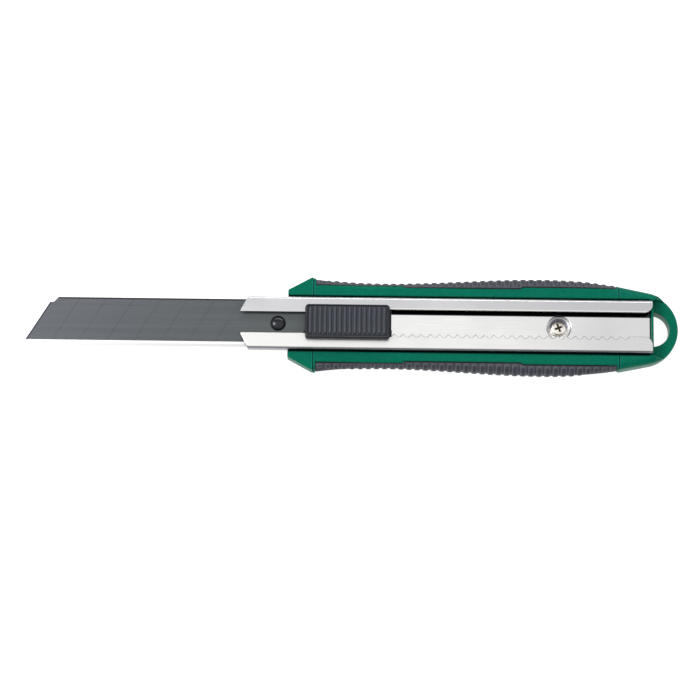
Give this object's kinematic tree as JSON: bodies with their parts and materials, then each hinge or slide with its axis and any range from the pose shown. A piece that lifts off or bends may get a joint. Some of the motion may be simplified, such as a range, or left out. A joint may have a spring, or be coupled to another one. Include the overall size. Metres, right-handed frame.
{
  "type": "utility knife",
  "caption": "Snap-off utility knife: scored blade on a ratcheting slider in a steel channel, soft-grip handle, pull-off end cap with a lanyard loop.",
  "frame": {"origin": "on the rest plane, below the middle of the whole length with the blade run out", "axes": "+X from the blade's tip to the lanyard loop, +Y across the knife away from the cutting edge, +Z out of the face with the slider"},
  "size_m": [0.2422, 0.0366, 0.0168],
  "materials": {
    "blade_steel": "dark ground steel, bright along the cutting edge",
    "black_plastic": "fine moulded texture",
    "pad_plastic": "satin, ridged",
    "spring_steel": "blackened",
    "stainless": "bright, brushed along its length",
    "plated_screw": "nickel plated",
    "brass": "turned, knurled",
    "green_plastic": "moulded, with a fine metallic fleck",
    "grip_rubber": "soft, matte, ribbed across"
  },
  "bodies": {
    "handle": {"blade_channel": "stainless", "channel_screws": "plated_screw", "screw_inserts": "brass", "handle_core": "green_plastic", "back_cover": "green_plastic", "front_nose": "green_plastic", "upper_grip": "grip_rubber", "lower_grip": "grip_rubber"},
    "end_cap": {"rear_cap": "green_plastic", "cap_latch": "green_plastic"},
    "carriage": {"blade_carrier": "black_plastic", "blade_peg": "black_plastic", "blade": "blade_steel", "lock_spring": "spring_steel"},
    "button": {"thumb_button": "black_plastic", "thumb_pad": "pad_plastic"}
  },
  "joints": [
    {"name": "blade_slide", "type": "slide", "parent": "handle", "child": "carriage", "axis": [1, 0, 0], "range_m": [0, 0.08667], "deforming": ["lock_spring"]},
    {"name": "button_press", "type": "slide", "parent": "carriage", "child": "button", "axis": [0, 0, -1], "range_m": [0, 0.0008], "stiffness_N_per_m": 2500, "springref_m": -0.0008},
    {"name": "cap_pull", "type": "slide", "parent": "handle", "child": "end_cap", "axis": [1, 0, 0], "range_m": [0, 0.016], "deforming": ["cap_latch"]}
  ]
}
